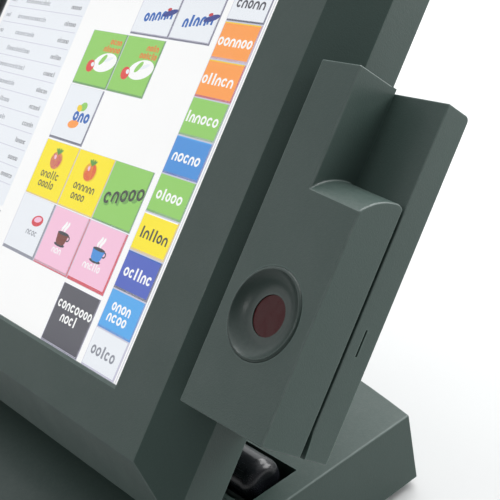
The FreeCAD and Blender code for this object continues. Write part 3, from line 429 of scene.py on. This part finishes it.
class Picture:
    """Collects flat shapes, then makes one mesh of thin closed plates from them."""

    def __init__(self, name, base):
        self.name = name
        self.base = base
        self.mesh = bmesh.new()
        self.inks = []

    def plate(self, points, ink, layer, thick=1):
        if ink not in self.inks:
            self.inks.append(ink)
        front = PANEL_HIGH[1] - (self.base + layer) * LAYER
        rings = []
        for depth in (front, front + thick * LAYER):
            ring = [head_point(PANEL_LOW[0] + a * MM, depth, PANEL_LOW[2] + b * MM) for a, b in points]
            rings.append([self.mesh.verts.new(point) for point in ring])
        near, far = rings
        faces = [self.mesh.faces.new(near), self.mesh.faces.new(far[::-1])]
        for i in range(len(points)):
            j = (i + 1) % len(points)
            faces.append(self.mesh.faces.new((near[j], near[i], far[i], far[j])))
        for face in faces:
            face.material_index = self.inks.index(ink)

    def rect(self, a0, b0, a1, b1, ink, layer, thick=1):
        self.plate([(a0, b0), (a1, b0), (a1, b1), (a0, b1)], ink, layer, thick)

    def blob(self, a, b, shape, ink, layer):
        """Closed outline about a point: shape gives the offset for each angle."""
        points = []
        for i in range(OUTLINE_POINTS):
            across, up = shape(2 * math.pi * i / OUTLINE_POINTS)
            points.append((a + across, b + up))
        self.plate(points, ink, layer)

    def disc(self, a, b, ra, rb, ink, layer, turn=0.0):
        def shape(t):
            x, y = ra * math.cos(t), rb * math.sin(t)
            return x * math.cos(turn) - y * math.sin(turn), x * math.sin(turn) + y * math.cos(turn)
        self.blob(a, b, shape, ink, layer)

    def stroke(self, points, width, ink, layer):
        """A line of even width through the points."""
        left, right = [], []
        for i, (a, b) in enumerate(points):
            (a0, b0), (a1, b1) = points[max(i - 1, 0)], points[min(i + 1, len(points) - 1)]
            run = math.hypot(a1 - a0, b1 - b0)
            across, up = -(b1 - b0) / run * width / 2, (a1 - a0) / run * width / 2
            left.append((a + across, b + up))
            right.append((a - across, b - up))
        self.plate(right + left[::-1], ink, layer)

    def mark(self, a, b, wide, tall, kind, line, ink, layer):
        """One mark of a blank word: a hoop, an open hoop, an arch on two uprights or a tall upright."""
        ra, rb, half = wide / 2, tall / 2, line / 2

        def arc(start, end, lift=0.0):
            turns = [math.radians(start + (end - start) * k / ARC_STEPS) for k in range(ARC_STEPS + 1)]
            return [(a + ra + ra * math.cos(t), b + rb + lift + rb * math.sin(t)) for t in turns]
        if kind == HOOP:
            self.stroke(arc(0, 180), line, ink, layer)
            self.stroke(arc(180, 360), line, ink, layer + 1)
        elif kind == OPEN_HOOP:
            self.stroke(arc(35, 325), line, ink, layer)
        elif kind == ARCH:
            self.stroke(arc(0, 180, -0.06 * tall), line, ink, layer)
            for foot in (a, a + wide):
                self.rect(foot - half, b - half, foot + half, b + rb * 0.95, ink, layer + 1)
        else:
            stem = line * 0.6
            self.rect(a + ra - stem, b - half, a + ra + stem, b + tall * 1.55, ink, layer)

    def word(self, a, b, width, tall, ink, layer, seed, bold=1.0, slope=0.0):
        """A blank word centred on a: a row of marks of uneven width, the same ones for the same seed."""
        dice = random.Random(seed)
        line = 0.17 * tall * bold
        low = tall * 0.66
        at = a - width / 2
        last = a + width / 2 - 0.5 * low
        while at < last:
            kind = dice.choice(MARKS)
            wide = low * (0.45 if kind == UPRIGHT else dice.uniform(0.72, 0.92))
            self.mark(at, b + slope * (at - a), wide, low, kind, line, ink, layer)
            at += wide + line + low * 0.14

    def key(self, a0, b0, a1, b1, ink, low, edge=1.0, high=None):
        """A raised screen key: its edge on the right and below, a light line above."""
        self.rect(a0, b0, a1, b1, low, 1)
        self.rect(a0, b0 + edge, a1 - edge, b1, ink, 2)
        if high:
            self.rect(a0, b1 - 0.7, a1 - edge, b1, high, 3)

    def finish(self):
        data = bpy.data.meshes.new(self.name)
        self.mesh.normal_update()
        self.mesh.to_mesh(data)
        self.mesh.free()
        for ink in self.inks:
            data.materials.append(INK_MATERIALS[ink])
        piece = bpy.data.objects.new(self.name, data)
        bpy.context.scene.collection.objects.link(piece)
        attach(piece, "head")
        return piece


def tomato(picture, a, b, size, body):
    def round_fruit(t):
        dip = 1 - 0.13 * max(0.0, math.sin(t)) ** 6
        return size * 1.06 * math.cos(t), size * dip * math.sin(t)
    picture.blob(a, b, round_fruit, body, 4)
    picture.disc(a - size * 0.35, b + size * 0.3, size * 0.2, size * 0.28, "pink", 5, 0.5)
    for turn in (-0.9, -0.3, 0.3, 0.9):
        stalk = a + size * 0.42 * math.sin(turn)
        picture.disc(stalk, b + size * 0.98, size * 0.15, size * 0.4, "leaf", 5, -turn)


def steaming_cup(picture, a, b, size, body):
    picture.disc(a, b - size * 0.62, size * 0.8, size * 0.16, "darker", 4)
    picture.disc(a + size * 0.84, b + size * 0.08, size * 0.30, size * 0.26, "darker", 4)
    picture.disc(a + size * 0.84, b + size * 0.08, size * 0.16, size * 0.14, "pink", 5)
    bowl = [(-0.86, 0.36), (-0.68, -0.42), (-0.36, -0.62), (0.36, -0.62), (0.68, -0.42), (0.86, 0.36)]
    picture.plate([(a + x * size, b + y * size) for x, y in bowl], body, 6)
    picture.disc(a, b + size * 0.36, size * 0.86, size * 0.14, "darker", 7)
    for side in (-0.28, 0.12):
        def wisp(t, side=side):
            y = size * 0.46 * math.sin(t)
            return size * (side + 0.17 * math.cos(t)) + size * 0.14 * math.sin(y / size * 5), y
        picture.blob(a, b + size * 0.94, wisp, "white", 4)


def red_dish(picture, a, b):
    picture.disc(a + 27.5, b + 23.5, 6.4, 3.6, "rose", 4, 0.2)
    picture.disc(a + 27.5, b + 24.4, 4.2, 1.8, "pink", 5, 0.2)


def cut_fruit(picture, a, b):
    picture.disc(a + 25, b + 24.6, 3.8, 3.0, "green", 4, 0.3)
    picture.disc(a + 21, b + 23.0, 3.0, 2.2, "gold", 5, -0.4)
    picture.disc(a + 21, b + 12.2, 6.0, 2.8, "orange", 5, 0.15)


def salad_plate(picture, a, b):
    picture.disc(a + 27, b + 17.0, 12.5, 6.4, "white", 4, 0.18)
    picture.disc(a + 24, b + 18.6, 4.6, 2.0, "green", 5, 0.9)
    picture.disc(a + 30, b + 19.4, 4.6, 1.2, "pale", 5, 0.4)
    picture.disc(a + 12.6, b + 13.2, 4.4, 4.2, "tomato", 6, -0.3)
    picture.disc(a + 14.6, b + 14.4, 1.8, 1.5, "pale", 7, -0.3)


def screen_ground():
    ground = Picture("screen_ground", 0)
    ground.rect(0, 0, SCREEN_W, SCREEN_H, "white", 10, thick=9)
    return ground


def category_keys():
    """The column at the right: one key above another, each with a blank word or two."""
    keys = Picture("screen_category_keys", KEYS_BASE)
    middle = (KEY_LEFT + KEY_RIGHT) / 2
    for i, (ink, low, text, high, widths) in enumerate(CATEGORIES):
        bottom = KEY_PITCH * i - 0.2
        top = min(bottom + KEY_PITCH - KEY_GAP, SCREEN_H - SCREEN_RIM)
        keys.rect(KEY_LEFT - KEY_RIM, bottom - KEY_RIM, KEY_RIGHT + KEY_RIM, min(top + KEY_RIM, SCREEN_H),
                  "line", 1)
        keys.key(KEY_LEFT, bottom, KEY_RIGHT, top, ink, low, 1.2, high)
        if len(widths) == 1:
            keys.word(middle, bottom + 8.8, widths[0], 6.0, text, 6, 100 + i, 1.25)
        else:
            keys.word(middle - 1, bottom + 12.0, widths[0], 5.6, text, 6, 121, 1.25)
            keys.word(middle - 1, bottom + 5.6, widths[1], 5.6, text, 6, 122, 1.25)
    keys.rect(KEY_RIGHT + 1.5, 0, KEY_RIGHT + 2.3, SCREEN_H, "mist", 1)
    return keys


def product_keys():
    """The coloured product keys, a grid with a staircase of keys above it."""
    keys = Picture("screen_product_keys", KEYS_BASE)

    def tile(column, row, ink, low, edge):
        """Lays the key at a column and row, and gives back its lower left corner."""
        a, b = COLUMNS[column], ROWS[row]
        b0, b1 = max(b, SCREEN_RIM), min(b + TILE_H, SCREEN_H - SCREEN_RIM)
        keys.rect(a - 0.5, b0 - 0.2, a + TILE_W + 0.4, b1 + 0.2, "line", 1)
        keys.key(a, b0, a + TILE_W, b1, ink, low, edge)
        return a, b
    a, b = tile(0, 2, "green", "leaf", 1.0)
    keys.word(a + 21.0, b + 15.5, 33, 9.0, "moss", 4, 7, 1.6, 0.26)
    keys.word(a + 20.4, b + 16.4, 33, 8.6, "ink", 6, 7, 1.2, 0.26)
    for column, body in ((1, "tomato"), (2, "plum")):
        a, b = tile(column, 2, "yellow", "gold", 0.8)
        keys.disc(a + 20.2, b + 25.2, 7.0, 6.0, "gold", 4)
        tomato(keys, a + 19.4, b + 25.6, 6.0, body)
        keys.word(a + 20, b + 13.4, 22, 5.0, "ink", 6, 20 + column)
        keys.word(a + 19, b + 7.0, 17, 5.0, "ink", 6, 30 + column)
    for column, body, width in ((0, "blue", 20), (1, "brown", 11)):
        a, b = tile(column, 1, "pink", "rose", 1.9)
        steaming_cup(keys, a + 19.6, b + 20.4, 7.4, body)
        keys.word(a + 20, b + 10.4, width, 4.4, "white", 4, 40 + column)
    a, b = tile(2, 1, "pale", "grey", 1.9)
    red_dish(keys, a, b)
    keys.word(a + 27, b + 14, 14, 4.0, "grey", 4, 50)
    a, b = tile(0, 0, "dark", "darker", 0.9)
    keys.word(a + 20.2, b + 23.6, 35, 5.6, "white", 4, 60, 1.2)
    keys.word(a + 20.2, b + 16.4, 19, 5.6, "white", 4, 61, 1.2)
    a, b = tile(2, 3, "pale", "slate", 1.5)
    cut_fruit(keys, a, b)
    keys.word(a + 28, b + 15.4, 19, 7.0, "deep", 6, 51, 1.7)
    for column in (1, 2):
        a, b = tile(column, 4, "green", "leaf", 1.3)
        salad_plate(keys, a, b)
        keys.word(a + 31, b + 29.8, 12, 3.8, "rust", 6, 52 + column, 1.4)
        keys.word(a + 29, b + 24.6, 17, 3.8, "rust", 6, 54 + column, 1.4)
    for column in (0, 1):
        a, b = tile(column, 5, "pale", "slate", 1.5)
        keys.word(a + 24, b + 12.0, 30, 6.4, "deep", 6, 56 + column, 1.7, 0.16)
        keys.disc(a + 33, b + 16.2, 7.0, 2.0, "night", 7, 0.3)
        keys.disc(a + 31, b + 18.4, 2.0, 1.0, "red", 8, 0.2)
    return keys


def order_list():
    """The part at the left: a blank bill of lines, a total and a number pad."""
    part = Picture("screen_order_list", KEYS_BASE)
    left, right = 4, 112
    bill_low, bill_high, line_pitch = 62, SCREEN_H - 4, 12.2
    pad_across, pad_up = 27, 13.2
    part.rect(left, bill_low, right, bill_high, "pale", 1)
    part.rect(left, bill_high - 12, right, bill_high, "indigo", 2)
    part.word(30, bill_high - 8.5, 40, 4.2, "white", 3, 200)
    for i in range(11):
        b = bill_high - 23 - line_pitch * i
        part.word(11, b, 6, 3.2, "grey", 3, 210 + i)
        part.word(46, b, 34 + 7 * math.sin(i * 2.1), 3.2, "grey", 3, 230 + i)
        part.word(100, b, 14, 3.2, "dark", 3, 250 + i)
        part.rect(left + 2, b - 4.4, right - 2, b - 4.0, "line", 2)
    part.rect(left, 44, right, bill_low - 3, "dark", 2)
    part.word(24, 49.5, 26, 4.4, "white", 3, 270)
    part.word(96, 49.5, 22, 4.4, "yellow", 3, 271)
    for i in range(3):
        for k in range(4):
            a, b = left + 1 + pad_across * k, 4 + pad_up * i
            ink, low = ("sky", "deep") if k < 3 else ("green", "leaf")
            part.key(a, b, a + pad_across - 2, b + pad_up - 1.4, ink, low, 0.8)
            part.word(a + 12.5, b + 4, 8, 3.6, "white", 4, 280 + 4 * i + k)
    return part


ground = screen_ground().finish()
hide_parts("lcd_image")
for part in (category_keys(), product_keys(), order_list()):
    part.finish()


# ---- floor, light and camera -----------------------------------------------------------------
FLOOR_RINGS, FLOOR_SPOKES = (1.2, 3.0, 8.0, 30.0), 48
SKY_WAY = Vector((-0.38, 0.55, 0.76))      # the studio's brightest side: above, behind and to the left
SKY_LOW, SKY_HIGH = 0.20, 1.38
SKY_FROM, SKY_TO = -0.05, 0.9              # a direction's share of SKY_WAY at the low and high strengths
LIT_POINT = Vector((0.0, 0.0, 0.15))       # every softbox faces this point

# Each softbox with its place, its width and height in metres, and its watts.
SOFTBOXES = (
    ("overhead", (-0.05, 1.2, 1.35), 1.7, 1.3, 42),
    ("right_back_panel", (1.2, 1.5, 0.7), 1.1, 0.9, 24),
    ("left_front_panel", (-1.3, -1.2, 1.0), 0.9, 0.9, 3.2),
    ("front_strip", (0.0, -1.24, 1.25), 0.5, 0.22, 3))

# The camera's place is measured from the finger guide's middle, on the module's front plane.
CAMERA_OFFSET = Vector((0.3636, -0.2553, 0.2447))
CAMERA_TURN, CAMERA_DROP, CAMERA_ROLL = math.radians(55.0), math.radians(25.4), math.radians(10.9)
LENS_MM, SENSOR_MM = 78.0, 36.0


def pale_floor():
    """A flat disc, far wider than any view of the terminal."""
    turns = [2 * math.pi * i / FLOOR_SPOKES for i in range(FLOOR_SPOKES)]
    mesh = bmesh.new()
    loops = []
    for radius in FLOOR_RINGS:
        loops.append([mesh.verts.new((radius * math.cos(t), radius * math.sin(t), 0)) for t in turns])
    mesh.faces.new(loops[0])
    for inner, outer in zip(loops, loops[1:]):
        for i in range(FLOOR_SPOKES):
            j = (i + 1) % FLOOR_SPOKES
            mesh.faces.new((inner[i], outer[i], outer[j], inner[j]))
    data = bpy.data.meshes.new("studio_floor")
    mesh.to_mesh(data)
    mesh.free()
    g = Graph("pale floor", Specular_IOR_Level=0.15)
    tone = g.mix(g.level(g.noise(3, 3), 0.3, 0.7), (0.52, 0.52, 0.52, 1), (0.54, 0.54, 0.538, 1))
    data.materials.append(g.surface(Base_Color=tone, Roughness=g.level(g.noise(200), 0.3, 0.7, 0.7, 0.8)))
    floor = bpy.data.objects.new("studio_floor", data)
    bpy.context.scene.collection.objects.link(floor)


def softbox(name, at, width, height, watts):
    data = bpy.data.lights.new(name, "AREA")
    data.shape = "RECTANGLE"
    data.size = width
    data.size_y = height
    data.energy = watts
    light = bpy.data.objects.new(name, data)
    light.location = at
    light.rotation_euler = (LIT_POINT - Vector(at)).to_track_quat("-Z", "Y").to_euler()
    bpy.context.scene.collection.objects.link(light)


def sky():
    """A soft sky whose strength depends only on the direction in the room."""
    world = bpy.data.worlds.new("studio")
    world.use_nodes = True
    tree = world.node_tree
    background = tree.nodes["Background"]
    background.inputs["Color"].default_value = (0.955, 0.985, 1.0, 1)
    where = tree.nodes.new("ShaderNodeTexCoord")
    facing = tree.nodes.new("ShaderNodeVectorMath")
    facing.operation = "DOT_PRODUCT"
    facing.inputs[1].default_value = SKY_WAY.normalized()
    ramp = tree.nodes.new("ShaderNodeMapRange")
    ramp.interpolation_type = "SMOOTHSTEP"
    limits = {"From Min": SKY_FROM, "From Max": SKY_TO, "To Min": SKY_LOW, "To Max": SKY_HIGH}
    for socket, value in limits.items():
        ramp.inputs[socket].default_value = value
    tree.links.new(where.outputs["Generated"], facing.inputs[0])
    tree.links.new(facing.outputs["Value"], ramp.inputs["Value"])
    tree.links.new(ramp.outputs["Result"], background.inputs["Strength"])
    bpy.context.scene.world = world


def camera():
    low, high = local_box("finger_guide")
    cover_low = local_box("module_front_cover")[0]
    aim = head_point((low[0] + high[0]) / 2, cover_low[1], (low[2] + high[2]) / 2)
    level_right = Vector((math.cos(CAMERA_TURN), math.sin(CAMERA_TURN), 0))
    ahead = Vector((-math.sin(CAMERA_TURN) * math.cos(CAMERA_DROP),
                    math.cos(CAMERA_TURN) * math.cos(CAMERA_DROP), -math.sin(CAMERA_DROP)))
    level_up = level_right.cross(ahead)
    right = level_right * math.cos(CAMERA_ROLL) - level_up * math.sin(CAMERA_ROLL)
    up = right.cross(ahead)
    data = bpy.data.cameras.new("camera")
    data.lens = LENS_MM
    data.sensor_width = SENSOR_MM
    eye = bpy.data.objects.new("camera", data)
    turn = Matrix((right, up, -ahead)).transposed().to_4x4()
    eye.matrix_world = Matrix.Translation(aim + CAMERA_OFFSET) @ turn
    bpy.context.scene.collection.objects.link(eye)
    bpy.context.scene.camera = eye


pale_floor()
sky()
for box in SOFTBOXES:
    softbox(*box)
camera()
bpy.context.scene.view_settings.view_transform = "Standard"
